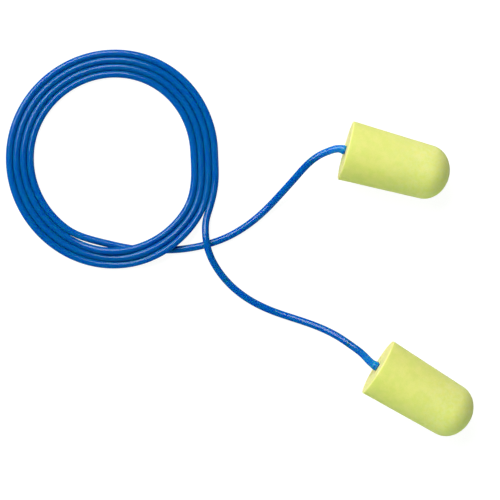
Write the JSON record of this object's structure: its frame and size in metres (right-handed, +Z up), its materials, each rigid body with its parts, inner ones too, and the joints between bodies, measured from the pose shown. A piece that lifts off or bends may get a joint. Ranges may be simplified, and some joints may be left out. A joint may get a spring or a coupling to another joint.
{
  "type": "corded foam ear plugs",
  "caption": "Tapered soft foam ear plugs joined by a smooth vinyl cord that lies wound in a flat coil.",
  "frame": {"origin": "On the resting surface, under the middle of the two plugs' joint box, the cord left out", "axes": "+Z up from the resting surface; +Y from the near plug to the far plug; +X from the coil towards the plugs"},
  "size_m": [0.1058, 0.087, 0.0135],
  "materials": {
    "foam": "matte",
    "vinyl": "gloss",
    "glue": "satin"
  },
  "bodies": {
    "cord": {"cord_coil": "vinyl", "far_lead": "vinyl", "near_lead": "vinyl"},
    "far_bend": {"far_swing_link": "vinyl"},
    "far_neck": {"far_lift_link": "vinyl"},
    "far_plug": {"far_plug": "foam", "far_cord_end": "vinyl", "far_glue_bead": "glue"},
    "near_bend": {"near_swing_link": "vinyl"},
    "near_neck": {"near_lift_link": "vinyl"},
    "near_plug": {"near_plug": "foam", "near_cord_end": "vinyl", "near_glue_bead": "glue"}
  },
  "joints": [
    {"name": "far_swing", "type": "hinge", "parent": "cord", "child": "far_bend", "pos_m": [-0.02348, 0.02409, 0.0047], "axis": [0, 0, 1], "range_deg": [-35, 35]},
    {"name": "far_lift", "type": "hinge", "parent": "far_bend", "child": "far_neck", "pos_m": [-0.01822, 0.02826, 0.00648], "axis": [-0.2571, -0.9664, 0], "range_deg": [0, 50]},
    {"name": "far_twist", "type": "hinge", "parent": "far_neck", "child": "far_plug", "pos_m": [-0.0135, 0.0288, 0.00675], "axis": [0.9658, -0.257, -0.0349], "range_deg": [-90, 90]},
    {"name": "near_swing", "type": "hinge", "parent": "cord", "child": "near_bend", "pos_m": [-0.01558, -0.01275, 0.0047], "axis": [0, 0, 1], "range_deg": [-35, 35]},
    {"name": "near_lift", "type": "hinge", "parent": "near_bend", "child": "near_neck", "pos_m": [-0.01001, -0.01657, 0.00648], "axis": [-0.5165, -0.8563, 0], "range_deg": [0, 50]},
    {"name": "near_twist", "type": "hinge", "parent": "near_neck", "child": "near_plug", "pos_m": [-0.0063, -0.0197, 0.00675], "axis": [0.8557, -0.5162, -0.0349], "range_deg": [-90, 90]}
  ]
}
